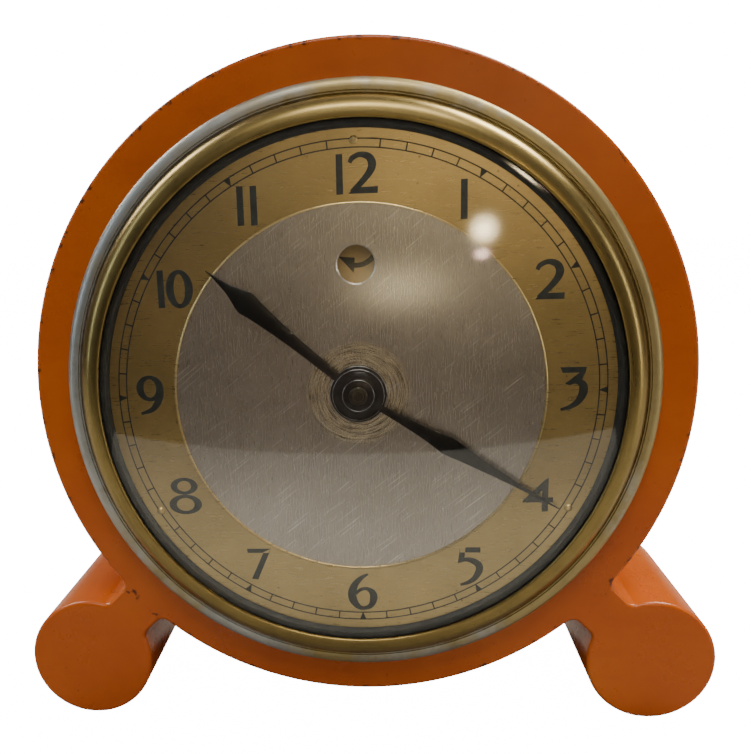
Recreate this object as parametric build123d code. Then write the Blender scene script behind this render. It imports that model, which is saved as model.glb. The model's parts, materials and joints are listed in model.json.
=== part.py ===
"""Mains-driven mantel clock in a cast phenolic case, as separate pieces.

Every piece is drawn in the clock's face frame: X to the right, Y up and Z towards the
person looking at the dial, with the origin at the centre of the case's front face. Depths
inside the case are therefore negative. PLACE then sets the face frame into the row frame,
where Z is up, the dial faces -Y and the feet stand on Z = 0.
"""
import math
import os

from build123d import *

# ---------------------------------------------------------------- driving dimensions, mm
CASE_R = 65.0            # round body of the case
CASE_DEPTH = 42.0
CASE_BORE_R = 54.0
REAR_REBATE_R = 57.0
REAR_REBATE = 3.5
EDGE_ROUND = 0.8
FOOT_R = 13.07
FOOT_X = 59.2
FOOT_Y = -58.3
FOOT_FLAT = 0.25         # height taken off each round foot to stand on
WEB_TOP = 5.6            # web between body and foot, either side of the line of centres
WEB_BOTTOM = -4.35
WEB_FILLET = 1.8

BEZEL_R = 57.5
BEZEL_APERTURE_R = 50.1
BEZEL_INNER_R = 51.95
GLASS_R = 51.9
GLASS_BACK = 5.2         # rear of the glass rim
GLASS_THICK = 1.4
GLASS_RISE = 5.5         # doming of the glass
DIAL_BACK = 2.9
DIAL_FRONT = 3.6
CHAPTER_FRONT = 4.0
CHAPTER_INNER_R = 35.4
CHAPTER_OUTER_R = 51.6
RIVET_CIRCLE_R = 46.4
RIVET_ANGLES = (90, -30, 210)

INDICATOR = (0.0, 24.4)  # running indicator, on the rotor's axis
INDICATOR_HOLE_R = 3.5
SETTER = (0.0, -17.0)    # hand-setting arbor
CORD_ENTRY = (0.0, -46.5)
CORD_BORE_R = 3.2

HOUR_ANGLE = 310.5       # degrees clockwise from twelve
MINUTE_ANGLE = 121.0

FRONT_PLATE = (-7.5, -6.0)   # rear and front of each flat piece
BACK_PLATE = (-20.5, -19.0)
PLATE_R = 42.0
PLATE_FLAT = -21.0
PILLARS = ((-30.3, 23.7), (30.3, 23.7), (-33.0, -12.0), (33.0, -12.0))
DIAL_POSTS = ((-37.0, 4.0), (37.0, 4.0), (-14.0, -17.0))
CASE_POSTS = ((-47.0, 0.0), (47.0, 0.0))
STATOR = (-29.0, -24.0)
STATOR_POSTS = ((-25.0, 24.4), (25.0, 24.4), (-25.0, -15.0), (25.0, -15.0))
ROTOR = (-28.5, -24.5)
ROTOR_R = 14.0
ROTOR_TEETH = 30
POLE_R = 14.4
BRIDGE = (-32.2, -31.0)
COVER = (-40.5, -38.5)
KNOB_END = -52.0

TRAIN_MODULE = 0.3
SLOW_PINION = 8
TRAIN_WHEEL = 80
CENTRE_WHEEL = 96
MOTION_MODULE = 0.5
CANNON_TEETH = 12
MINUTE_WHEEL = 36
HOUR_MODULE = 0.48
MINUTE_PINION = 10
HOUR_WHEEL = 40
PRESSURE_ANGLE = math.radians(25.0)

STARTER_TRAVEL = 2.5

GLASS_APEX = GLASS_BACK + GLASS_THICK + GLASS_RISE
FLOOR = FOOT_Y - FOOT_R + FOOT_FLAT
FACE_Y = (GLASS_APEX + KNOB_END) / 2
PLACE = Plane(origin=(0, FACE_Y, -FLOOR), x_dir=(1, 0, 0), z_dir=(0, -1, 0)).location


# ---------------------------------------------------------------- small helpers
def rod(x, y, r, z0, z1):
    """Round bar along the depth, between two depths; also used to drill."""
    return Pos(x, y, (z0 + z1) / 2) * Cylinder(r, abs(z1 - z0))


def pipe(x, y, r_out, r_in, z0, z1):
    return rod(x, y, r_out, z0, z1) - rod(x, y, r_in, z0 - 1, z1 + 1)


def block(x0, x1, y0, y1, z0, z1):
    centre = Pos((x0 + x1) / 2, (y0 + y1) / 2, (z0 + z1) / 2)
    return centre * Box(x1 - x0, y1 - y0, z1 - z0)


def slab(sketch, z0, z1):
    """Flat piece of the given outline between two depths."""
    return Pos(0, 0, z0) * extrude(sketch, z1 - z0)


def outline(points):
    return make_face(Polyline(*points, close=True))


def turned(*edges):
    """Solid turned about the depth axis from edges drawn in radius and depth."""
    profile = make_face(Wire(list(edges)))
    return revolve(profile, Axis.Z)


def line(*points):
    return Polyline(*[(r, 0, z) for r, z in points]).edges()


def arc(a, b, c):
    return ThreePointArc((a[0], 0, a[1]), (b[0], 0, b[1]), (c[0], 0, c[1])).edges()


def screw(x, y, head_z, direction, shank_r, head_r, head_h, length, slot=0.5):
    """Cheese-headed screw; the head sits at head_z and the shank runs along direction."""
    head = rod(x, y, head_r, head_z, head_z - direction * head_h)
    shank = rod(x, y, shank_r, head_z, head_z + direction * length)
    face = head_z - direction * head_h
    cut = block(x - head_r, x + head_r, y - slot / 2, y + slot / 2, face - slot, face + slot)
    return head + shank - cut


def knob(x, y, r, z0, z1, flutes):
    """Moulded turning knob with a fluted rim."""
    body = rod(x, y, r, z0, z1)
    body = chamfer(body.faces().sort_by(Axis.Z)[0].edges(), 0.8)
    for i in range(flutes):
        a = 2 * math.pi * i / flutes
        body -= rod(x + (r + 0.25) * math.cos(a), y + (r + 0.25) * math.sin(a), 0.6, z0 - 1, z1 + 1)
    return body


def involute(angle):
    return math.tan(angle) - angle


def gear_outline(teeth, module, addendum, dedendum, phase, thinning, steps):
    """Closed outline of an involute gear with one tooth centred on the phase angle."""
    pitch_r = teeth * module / 2
    base_r = pitch_r * math.cos(PRESSURE_ANGLE)
    tip_r = pitch_r + addendum
    root_r = pitch_r - dedendum
    half = math.pi / (2 * teeth) - thinning / (2 * pitch_r)   # half a tooth, as an angle
    points = []
    for tooth in range(teeth):
        centre = phase + 2 * math.pi * tooth / teeth
        flank = []
        for i in range(steps + 1):
            r = root_r + (tip_r - root_r) * i / steps
            at_r = math.acos(min(1.0, base_r / r))
            flank.append((r, half + involute(PRESSURE_ANGLE) - involute(at_r)))
        for r, a in flank:
            points.append((r * math.cos(centre - a), r * math.sin(centre - a)))
        for r, a in reversed(flank):
            points.append((r * math.cos(centre + a), r * math.sin(centre + a)))
    return points


def gear(at, teeth, module, phase, z0, z1, pinion=False):
    addendum = (0.75 if pinion else 0.7) * module
    dedendum = 1.0 * module
    steps = 3 if pinion else 1
    points = gear_outline(teeth, module, addendum, dedendum, phase, 0.1 * module, steps)
    return Pos(at[0], at[1], 0) * slab(outline(points), z0, z1)


def mating_phase(teeth_a, phase_a, at_a, teeth_b, at_b):
    """Phase that puts gear b in mesh with gear a."""
    towards_b = math.atan2(at_b[1] - at_a[1], at_b[0] - at_a[0])
    turns_a = teeth_a * (towards_b - phase_a) / (2 * math.pi)
    return towards_b + math.pi - 2 * math.pi / teeth_b * (0.5 - turns_a)


def crossed_out(wheel, at, rim_in, hub_r, arms, arm_width, z0, z1):
    """Cut the windows that leave a wheel with its rim, arms and hub."""
    window = pipe(*at, rim_in, hub_r, z0 - 1, z1 + 1)
    bar = Pos(rim_in, 0, 0) * Box(2 * rim_in, arm_width, 4 * (z1 - z0))
    for i in range(arms):
        window -= Pos(*at, (z0 + z1) / 2) * Rot(0, 0, 360 / arms * i) * bar
    return wheel - window


def centre_distance(teeth_a, teeth_b, module):
    return (teeth_a + teeth_b) * module / 2


def step_from(point, distance, degrees):
    a = math.radians(degrees)
    return (point[0] + distance * math.cos(a), point[1] + distance * math.sin(a))


def meeting_point(p, p_distance, q, q_distance):
    """Point at the given distances from p and q, on the left of the line from p to q."""
    dx, dy = q[0] - p[0], q[1] - p[1]
    gap = math.hypot(dx, dy)
    along = (gap ** 2 + p_distance ** 2 - q_distance ** 2) / (2 * gap)
    across = math.sqrt(p_distance ** 2 - along ** 2)
    return (p[0] + (along * dx - across * dy) / gap, p[1] + (along * dy + across * dx) / gap)


pieces = {}

# ---------------------------------------------------------------- case
def case_outline():
    """Round body with a round foot on a short web at each side."""
    shape = Circle(CASE_R)
    reach = math.hypot(FOOT_X, FOOT_Y)
    for side in (-1, 1):
        angle = math.degrees(math.atan2(FOOT_Y, side * FOOT_X))
        low, high = sorted((side * WEB_TOP, side * WEB_BOTTOM))
        web = Pos(reach - 16, (low + high) / 2) * Rectangle(18, high - low)
        shape += Rot(0, 0, angle) * web
        shape += Pos(side * FOOT_X, FOOT_Y) * Circle(FOOT_R)
    corners = [v for v in shape.vertices() if CASE_R - 1 < math.hypot(v.X, v.Y) < reach - 8]
    return fillet(corners, WEB_FILLET)


case = slab(case_outline(), -CASE_DEPTH, 0)
rims = case.faces().sort_by(Axis.Z)
case = fillet(rims[0].edges() + rims[-1].edges(), EDGE_ROUND)
case -= rod(0, 0, CASE_BORE_R, -CASE_DEPTH - 1, 1)
case -= rod(0, 0, REAR_REBATE_R, -CASE_DEPTH - 1, -CASE_DEPTH + REAR_REBATE)
case -= block(-90, 90, FLOOR - 5, FLOOR, -CASE_DEPTH - 1, 1)
pieces["case_body"] = case

# ---------------------------------------------------------------- bezel, glass and dial
LIP_BACK = GLASS_BACK + GLASS_THICK + 0.05
pieces["bezel_ring"] = turned(
    *line((BEZEL_R, 0), (56.6, 0), (56.6, 0.85), (BEZEL_INNER_R, 0.85), (BEZEL_INNER_R, LIP_BACK),
          (BEZEL_APERTURE_R, LIP_BACK), (BEZEL_APERTURE_R, 7.1)),
    *arc((BEZEL_APERTURE_R, 7.1), (50.25, 7.32), (50.6, 7.35)),
    *arc((50.6, 7.35), (52.95, 6.45), (54.2, 4.4)),
    *line((54.2, 4.4), (54.35, 3.85), (54.75, 3.7), (55.1, 3.95)),
    *arc((55.1, 3.95), (56.7, 3.6), (BEZEL_R, 2.2)),
    *line((BEZEL_R, 2.2), (BEZEL_R, 0)),
)

RIM_R = 50.0
def dome(z_edge, r):
    """Height of the glass's curve at a radius, for a surface meeting its rim at z_edge."""
    sphere = (RIM_R ** 2 + GLASS_RISE ** 2) / (2 * GLASS_RISE)
    return z_edge + GLASS_RISE - sphere + math.sqrt(sphere ** 2 - r ** 2)


back, front = GLASS_BACK, GLASS_BACK + GLASS_THICK
pieces["window_glass"] = turned(
    *arc((0, dome(back, 0)), (RIM_R / 2, dome(back, RIM_R / 2)), (RIM_R, back)),
    *line((RIM_R, back), (GLASS_R, back), (GLASS_R, front), (RIM_R, front)),
    *arc((RIM_R, front), (RIM_R / 2, dome(front, RIM_R / 2)), (0, dome(front, 0))),
    *line((0, dome(front, 0)), (0, dome(back, 0))),
)

pieces["sight_ring"] = turned(
    *line((49.4, CHAPTER_FRONT), (GLASS_R, CHAPTER_FRONT), (GLASS_R, GLASS_BACK), (50.0, GLASS_BACK),
          (49.4, CHAPTER_FRONT)),
)

rivet_points = [(RIVET_CIRCLE_R * math.cos(math.radians(a)), RIVET_CIRCLE_R * math.sin(math.radians(a)))
                for a in RIVET_ANGLES]

dial = rod(0, 0, GLASS_R, DIAL_BACK, DIAL_FRONT) - rod(0, 0, 3.6, 0, 9)
dial -= rod(*INDICATOR, INDICATOR_HOLE_R, 0, 9)
chapter = pipe(0, 0, CHAPTER_OUTER_R, CHAPTER_INNER_R, DIAL_FRONT, CHAPTER_FRONT)
pan = turned(
    *line((3.6, 2.1), (51.1, 2.1), (51.1, 0), (56.5, 0), (56.5, 0.8), (GLASS_R, 0.8),
          (GLASS_R, DIAL_BACK), (3.6, DIAL_BACK), (3.6, 2.1)),
)
pan -= rod(*INDICATOR, 4.2, 0, 9)
rivets = None
for x, y in rivet_points:
    dial -= rod(x, y, 0.5, 0, 9)
    chapter -= rod(x, y, 0.5, 0, 9)
    pan -= rod(x, y, 0.5, 0, 9)
    head = rod(x, y, 0.8, CHAPTER_FRONT, CHAPTER_FRONT + 0.4)
    head = fillet(head.faces().sort_by(Axis.Z)[-1].edges(), 0.3)
    rivet = head + rod(x, y, 0.45, 1.7, CHAPTER_FRONT) + rod(x, y, 0.8, 1.7, 2.1)
    rivets = rivet if rivets is None else rivets + rivet
pan_screws = None
posts = None
for x, y in DIAL_POSTS:
    pan -= rod(x, y, 1.1, 0, 9) + rod(x, y, 2.3, 2.3, 9)
    one = screw(x, y, 2.3, -1, 1.0, 2.2, 0.55, 4.2, 0.3)
    pan_screws = one if pan_screws is None else pan_screws + one
    post = rod(x, y, 2.5, FRONT_PLATE[1], 2.1) + rod(x, y, 1.2, *FRONT_PLATE)
    post -= rod(x, y, 1.05, -2.5, 2.2)
    posts = post if posts is None else posts + post
pieces["dial_plate"] = dial
pieces["chapter_ring"] = chapter
pieces["dial_pan"] = pan
pieces["dial_rivets"] = rivets
pieces["pan_screws"] = pan_screws
pieces["dial_posts"] = posts

# ---------------------------------------------------------------- rear cover and its bushes
cover = rod(0, 0, REAR_REBATE_R - 0.3, *COVER)
case_posts = None
case_screws = None
for x, y in CASE_POSTS:
    cover -= rod(x, y, 1.7, COVER[0] - 1, COVER[1] + 1)
    post = rod(x, y, 2.8, COVER[1], 2.1) - rod(x, y, 1.55, COVER[1] - 1, COVER[1] + 12)
    one = screw(x, y, COVER[0], 1, 1.5, 3.2, 1.4, 12, 0.8)
    case_posts = post if case_posts is None else case_posts + post
    case_screws = one if case_screws is None else case_screws + one
for x, y, r in ((*INDICATOR, 3.0), (*SETTER, 2.5), (*CORD_ENTRY, 4.5)):
    cover -= rod(x, y, r, COVER[0] - 1, COVER[1] + 1)
for side in (-1, 1):
    for i in range(5):
        x = side * (20 + 4.5 * i)
        slot = block(x - 1, x + 1, 26 - 2.2 * i, 38 - 3.4 * i, COVER[0] - 1, COVER[1] + 1)
        cover -= slot
pieces["back_cover"] = cover
pieces["case_posts"] = case_posts
pieces["case_screws"] = case_screws
pieces["starter_bush"] = pipe(*INDICATOR, 4.0, 1.85, COVER[0] - 0.8, COVER[0]) + pipe(
    *INDICATOR, 3.0, 1.85, COVER[0], -38.0)
pieces["setting_bush"] = pipe(*SETTER, 3.8, 1.55, COVER[0] - 0.8, COVER[0]) + pipe(
    *SETTER, 2.5, 1.55, COVER[0], -37.0)
pieces["cord_bush"] = pipe(*CORD_ENTRY, 6.0, CORD_BORE_R, COVER[0] - 1.8, COVER[0]) + pipe(
    *CORD_ENTRY, 4.5, CORD_BORE_R, COVER[0], COVER[1]) + pipe(
    *CORD_ENTRY, 5.6, CORD_BORE_R, COVER[1], COVER[1] + 1.2)

# ---------------------------------------------------------------- wheel positions and phases
ROTOR_AT = INDICATOR
slow = centre_distance(SLOW_PINION, TRAIN_WHEEL, TRAIN_MODULE)
FIRST_AT = step_from(ROTOR_AT, slow, 192.25)
SECOND_AT = step_from(FIRST_AT, slow, 236.4)
CENTRE_AT = (0.0, 0.0)
last = centre_distance(SLOW_PINION, CENTRE_WHEEL, TRAIN_MODULE)
THIRD_AT = meeting_point(CENTRE_AT, last, SECOND_AT, slow)
motion = centre_distance(CANNON_TEETH, MINUTE_WHEEL, MOTION_MODULE)
MINUTE_WHEEL_AT = meeting_point(SETTER, motion, CENTRE_AT, motion)
if MINUTE_WHEEL_AT[0] < 0:
    MINUTE_WHEEL_AT = (-MINUTE_WHEEL_AT[0], MINUTE_WHEEL_AT[1])

rotor_phase = 0.0
first_phase = mating_phase(SLOW_PINION, rotor_phase, ROTOR_AT, TRAIN_WHEEL, FIRST_AT)
second_phase = mating_phase(SLOW_PINION, first_phase, FIRST_AT, TRAIN_WHEEL, SECOND_AT)
third_phase = mating_phase(SLOW_PINION, second_phase, SECOND_AT, TRAIN_WHEEL, THIRD_AT)
centre_phase = mating_phase(SLOW_PINION, third_phase, THIRD_AT, CENTRE_WHEEL, CENTRE_AT)
minute_phase = mating_phase(CANNON_TEETH, 0.0, CENTRE_AT, MINUTE_WHEEL, MINUTE_WHEEL_AT)
setter_phase = mating_phase(MINUTE_WHEEL, minute_phase, MINUTE_WHEEL_AT, CANNON_TEETH, SETTER)
hour_phase = mating_phase(MINUTE_PINION, minute_phase, MINUTE_WHEEL_AT, HOUR_WHEEL, CENTRE_AT)

# ---------------------------------------------------------------- movement frame
def plate(z0, z1):
    disc = rod(0, 0, PLATE_R, z0, z1)
    return disc - block(-60, 60, PLATE_FLAT - 60, PLATE_FLAT, z0 - 1, z1 + 1)


front_plate = plate(*FRONT_PLATE)
back_plate = plate(*BACK_PLATE)
for at in (FIRST_AT, SECOND_AT, THIRD_AT):
    front_plate -= rod(*at, 0.55, -9, -5)
    back_plate -= rod(*at, 0.55, -22, -18)
for at, r in ((ROTOR_AT, 0.85), (CENTRE_AT, 1.05), (SETTER, 1.25)):
    front_plate -= rod(*at, r, -9, -5)
    back_plate -= rod(*at, r, -22, -18)
front_plate -= rod(*MINUTE_WHEEL_AT, 0.8, -9, -5)
pillars = None
pillar_screws = None
for x, y in PILLARS:
    front_plate -= rod(x, y, 1.15, -9, -5)
    back_plate -= rod(x, y, 1.15, -22, -18)
    pillar = rod(x, y, 2.3, BACK_PLATE[1], FRONT_PLATE[0])
    pillar -= rod(x, y, 1.15, BACK_PLATE[1] - 1, BACK_PLATE[1] + 4.4)
    pillar -= rod(x, y, 1.15, FRONT_PLATE[0] - 4.4, FRONT_PLATE[0] + 1)
    pillars = pillar if pillars is None else pillars + pillar
    for head_z, direction in ((FRONT_PLATE[1], -1), (BACK_PLATE[0], 1)):
        one = screw(x, y, head_z, direction, 1.1, 2.0, 1.1, 5.5)
        pillar_screws = one if pillar_screws is None else pillar_screws + one
for x, y in DIAL_POSTS:
    front_plate -= rod(x, y, 1.2, -9, -5)
for x, y in STATOR_POSTS:
    back_plate -= rod(x, y, 1.3, -22, -18)
pieces["plate_pillars"] = pillars
pieces["pillar_screws"] = pillar_screws
pieces["front_plate"] = front_plate
pieces["back_plate"] = back_plate
stud = rod(*MINUTE_WHEEL_AT, 0.8, FRONT_PLATE[0], -1.5) + rod(*MINUTE_WHEEL_AT, 1.4, -1.5, -1.2)
pieces["minute_wheel_stud"] = stud

# ---------------------------------------------------------------- motor
def stator_outline():
    """Two curved poles on long arms, joined by the bar that carries the coil."""
    cx, cy = ROTOR_AT
    shape = Pos(cx, cy) * (Circle(19.0) - Rectangle(6, 60))
    for side in (-1, 1):
        shape += Pos(side * 21.5, cy) * Rectangle(15, 12)
        shape += Pos(side * 25, (cy + 6 - 36) / 2) * Rectangle(8, cy + 6 + 36)
    shape += Pos(0, -32) * Rectangle(58, 8)
    return shape - Pos(cx, cy) * Circle(POLE_R)


stator = slab(stator_outline(), *STATOR)
stator_posts = None
stator_screws = None
bridge_screws = None
bridge = block(-30, 30, ROTOR_AT[1] - 4, ROTOR_AT[1] + 4, *BRIDGE) - rod(*ROTOR_AT, 0.85, -34, -30)
for x, y in STATOR_POSTS:
    stator -= rod(x, y, 1.35, STATOR[0] - 1, STATOR[1] + 1)
    post = rod(x, y, 3.0, STATOR[1], BACK_PLATE[0]) + rod(x, y, 1.3, *BACK_PLATE)
    post -= rod(x, y, 1.15, STATOR[1] - 1, STATOR[1] + 3.2)
    stator_posts = post if stator_posts is None else stator_posts + post
    if y > 0:
        bridge += block(x - 3.5, x + 3.5, y - 4, y + 4, BRIDGE[1], STATOR[0])
        bridge -= rod(x, y, 1.35, BRIDGE[0] - 1, STATOR[0] + 1)
        one = screw(x, y, BRIDGE[0], 1, 1.1, 2.3, 1.4, BRIDGE[1] - BRIDGE[0] + 2 + 5 + 3)
        bridge_screws = one if bridge_screws is None else bridge_screws + one
    else:
        one = screw(x, y, STATOR[0], 1, 1.1, 2.3, 1.4, 8)
        stator_screws = one if stator_screws is None else stator_screws + one
stator -= rod(25, 0, 0.85, STATOR[0] - 1, STATOR[1] + 1)
pieces["stator_core"] = stator
pieces["stator_posts"] = stator_posts
pieces["stator_screws"] = stator_screws
pieces["bridge_screws"] = bridge_screws
pieces["rotor_bridge"] = bridge

bar_y = (-36.0, -28.0)
tube = block(-14, 14, bar_y[0] - 1.2, bar_y[1] + 1.2, STATOR[0] - 1.2, STATOR[1] + 1.2)
bobbin = tube
for x0, x1 in ((-14, -12.5), (12.5, 14)):
    bobbin += block(x0, x1, -41.5, -22.5, -36, -17)
bobbin -= block(-15, 15, bar_y[0] - 0.05, bar_y[1] + 0.05, STATOR[0] - 0.05, STATOR[1] + 0.05)
winding = block(-12.5, 12.5, -40.6, -23.4, -35.1, -17.9)
winding = fillet(winding.edges().filter_by(Axis.X), 3.0) - tube
pieces["coil_bobbin"] = bobbin
pieces["coil_winding"] = winding

terminal = block(20.5, 29.5, -8, 8, -36, STATOR[0])
terminal_screws = None
for y in (-4.5, 4.5):
    terminal -= block(20, 30, y - 2.6, y + 2.6, -37, -33.5) + rod(25, y, 1.15, -37, -31)
    one = screw(25, y, -33.5, 1, 1.1, 2.0, 1.2, 2.2)
    terminal_screws = one if terminal_screws is None else terminal_screws + one
terminal -= rod(25, 0, 0.85, -37, -28)
block_rivet = rod(25, 0, 0.8, -36, STATOR[1]) + rod(25, 0, 1.6, -36.6, -36) + rod(
    25, 0, 1.6, STATOR[1], STATOR[1] + 0.6)
pieces["terminal_block"] = terminal
pieces["terminal_screws"] = terminal_screws
pieces["terminal_rivet"] = block_rivet

def lead(points):
    path = Spline(*points)
    section = Plane(origin=points[0], z_dir=path % 0) * Circle(0.6)
    return sweep(section, path)


lower_lead = [(14.8, -24.0, -32.0), (18.0, -21.0, -33.0), (19.5, -12.0, -35.0), (20.0, -4.5, -35.0)]
upper_lead = [(14.8, -24.0, -28.0), (17.5, -18.0, -30.0), (18.0, -3.0, -34.6), (20.0, 4.5, -35.0)]
pieces["coil_leads"] = lead(lower_lead) + lead(upper_lead)

# ---------------------------------------------------------------- rotor
star = rod(0, 0, ROTOR_R, *ROTOR)
star -= pipe(0, 0, ROTOR_R - 2.6, 3.0, ROTOR[0] + 1.2, ROTOR[1] + 1)
for i in range(ROTOR_TEETH):
    notch = Pos(ROTOR_R + 0.2, 0, sum(ROTOR) / 2) * Box(2.4, 1.3, 8)
    star -= Rot(0, 0, 360 / ROTOR_TEETH * (i + 0.5)) * notch
star -= rod(0, 0, 0.8, ROTOR[0] - 1, ROTOR[1] + 1)
pieces["rotor_star"] = Pos(*ROTOR_AT, 0) * star
pieces["rotor_arbor"] = rod(*ROTOR_AT, 0.8, -33.4, 1.5) + gear(
    ROTOR_AT, SLOW_PINION, TRAIN_MODULE, rotor_phase, -18.2, -16.0, True)
indicator = rod(*ROTOR_AT, 6.0, 1.0, 1.4) + pipe(*ROTOR_AT, 1.6, 0.8, -0.6, 1.0)
pieces["indicator_disc"] = indicator - rod(*ROTOR_AT, 0.8, -2, 9)
pieces["clutch_disc"] = pipe(*ROTOR_AT, 3.6, 0.8, -33.6, -32.6)

# ---------------------------------------------------------------- reduction train
def train_arbor(at, pinion_phase, z0, z1):
    body = rod(*at, 0.8, -18.8, -7.7) + rod(*at, 0.5, BACK_PLATE[0] + 0.1, FRONT_PLATE[1] - 0.1)
    return body + gear(at, SLOW_PINION, TRAIN_MODULE, pinion_phase, z0, z1, True)


def train_wheel(at, teeth, phase, z0, z1, bore):
    wheel = gear(at, teeth, TRAIN_MODULE, phase, z0, z1)
    rim = teeth * TRAIN_MODULE / 2 - 1.6
    wheel = crossed_out(wheel, at, rim, 2.4, 4, 1.3, z0, z1)
    return wheel - rod(*at, bore, z0 - 1, z1 + 1)


pieces["first_wheel"] = train_wheel(FIRST_AT, TRAIN_WHEEL, first_phase, -17.6, -16.6, 0.8)
pieces["first_arbor"] = train_arbor(FIRST_AT, first_phase, -15.4, -13.0)
pieces["second_wheel"] = train_wheel(SECOND_AT, TRAIN_WHEEL, second_phase, -14.7, -13.7, 0.8)
pieces["second_arbor"] = train_arbor(SECOND_AT, second_phase, -12.6, -10.2)
pieces["third_wheel"] = train_wheel(THIRD_AT, TRAIN_WHEEL, third_phase, -11.9, -10.9, 0.8)
pieces["third_arbor"] = train_arbor(THIRD_AT, third_phase, -10.1, -7.9)
pieces["centre_wheel"] = train_wheel(CENTRE_AT, CENTRE_WHEEL, centre_phase, -9.4, -8.4, 1.05)

# ---------------------------------------------------------------- centre arbor and motion work
centre = rod(0, 0, 1.0, -20.4, 6.9) + rod(0, 0, 1.8, -8.35, -7.7) + rod(0, 0, 2.0, -11.2, -10.5)
pieces["centre_arbor"] = centre
washer = turned(*line((1.0, -10.5), (1.6, -10.5), (3.6, -9.75), (3.6, -9.45), (3.3, -9.45), (1.4, -10.15),
                      (1.0, -10.15), (1.0, -10.5)))
pieces["friction_spring"] = washer
cannon = gear(CENTRE_AT, CANNON_TEETH, MOTION_MODULE, 0.0, -5.4, -3.9, True)
cannon += rod(0, 0, 1.6, -5.6, 6.2)
pieces["cannon_pinion"] = cannon - rod(0, 0, 1.0, -9, 9)
hour_gear = gear(CENTRE_AT, HOUR_WHEEL, HOUR_MODULE, hour_phase, -3.2, -2.2)
hour_gear = crossed_out(hour_gear, CENTRE_AT, 7.9, 3.6, 3, 1.6, -3.2, -2.2)
pieces["hour_wheel"] = hour_gear - rod(0, 0, 2.3, -9, 9)
pieces["hour_pipe"] = pipe(0, 0, 2.3, 1.65, -3.6, 4.8) + pipe(0, 0, 3.0, 2.3, -3.6, -3.2)
minute_gear = gear(MINUTE_WHEEL_AT, MINUTE_WHEEL, MOTION_MODULE, minute_phase, -5.2, -4.2)
minute_gear = crossed_out(minute_gear, MINUTE_WHEEL_AT, 7.4, 3.4, 3, 1.6, -5.2, -4.2)
pieces["minute_wheel"] = minute_gear - rod(*MINUTE_WHEEL_AT, 0.85, -9, 9)
pieces["minute_pinion"] = gear(
    MINUTE_WHEEL_AT, MINUTE_PINION, HOUR_MODULE, minute_phase, -4.2, -1.8, True) - rod(
    *MINUTE_WHEEL_AT, 0.85, -9, 9)

# ---------------------------------------------------------------- hands
def blade(stations, angle, z0, z1):
    """Tapered blade through stations of distance and half width, turned to a clock angle."""
    right = [(w, d) for d, w in stations]
    left = [(-w, d) for d, w in reversed(stations)]
    return Rot(0, 0, -angle) * slab(outline(right + left), z0, z1)


minute_blade = blade([(3.0, 0.95), (12.0, 1.35), (20.2, 2.0), (30.0, 1.15), (44.8, 0.12)],
                     MINUTE_ANGLE, 5.3, 5.65)
minute_boss = turned(
    *line((1.6, 6.3), (1.6, 5.1), (4.4, 5.1), (4.4, 5.6)),
    *arc((4.4, 5.6), (3.2, 6.07), (1.6, 6.3)),
)
pieces["minute_hand"] = minute_blade + minute_boss
hour_blade = blade([(3.0, 0.95), (15.0, 1.3), (27.0, 2.35), (31.0, 1.3), (37.0, 0.12)],
                   HOUR_ANGLE, 4.4, 4.75)
pieces["hour_hand"] = hour_blade - rod(0, 0, 2.3, 0, 9) + pipe(0, 0, 4.9, 2.3, 4.2, 4.85)
pieces["hand_nut"] = pipe(0, 0, 1.75, 1.0, 6.3, 6.9)

# ---------------------------------------------------------------- hand setting
setter = rod(*SETTER, 1.2, -21.0, -3.7) + rod(*SETTER, 1.5, -51.0, -21.0)
setter += gear(SETTER, CANNON_TEETH, MOTION_MODULE, setter_phase, -5.4, -3.9, True)
pieces["setting_arbor"] = setter
pieces["setting_knob"] = knob(*SETTER, 6.5, KNOB_END, -42.6, 24) - rod(*SETTER, 1.5, -51.0, -40)

# ---------------------------------------------------------------- starter
pieces["starter_sleeve"] = pipe(*INDICATOR, 1.8, 1.25, -45.9, -37.9) + pipe(
    *INDICATOR, 3.3, 1.8, -45.9, -45.3)
shaft = rod(*INDICATOR, 1.2, -51.0, -37.0) + rod(*INDICATOR, 3.2, -37.8, -37.0)
pieces["starter_shaft"] = shaft
pieces["starter_pad"] = rod(*INDICATOR, 3.4, -37.0, -36.2)
pieces["starter_knob"] = knob(*INDICATOR, 6.5, KNOB_END, -46.0, 24) - rod(*INDICATOR, 1.2, -51.0, -40)
coil_r = 2.55
wire = 0.2
helix = Pos(*INDICATOR, -45.3 + wire) * Helix(pitch=1.2, height=3.6, radius=coil_r)
start = helix @ 0
pieces["starter_spring"] = sweep(Plane(origin=start, z_dir=helix % 0) * Circle(wire), helix)

# ---------------------------------------------------------------- export
os.makedirs("parts", exist_ok=True)
for name, piece in pieces.items():
    export_step(PLACE * piece, f"parts/{name}.step")
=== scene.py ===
"""Looks of the mantel clock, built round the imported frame.

Shapes are drawn in millimetres in the clock's face frame (X right, Y up, Z towards the
viewer, origin at the centre of the case's front face) and set into the row frame by at().
"""
import json
import math

import bmesh
import bpy
from mathutils import Matrix, Vector
from mathutils.geometry import delaunay_2d_cdt, tessellate_polygon


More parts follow.
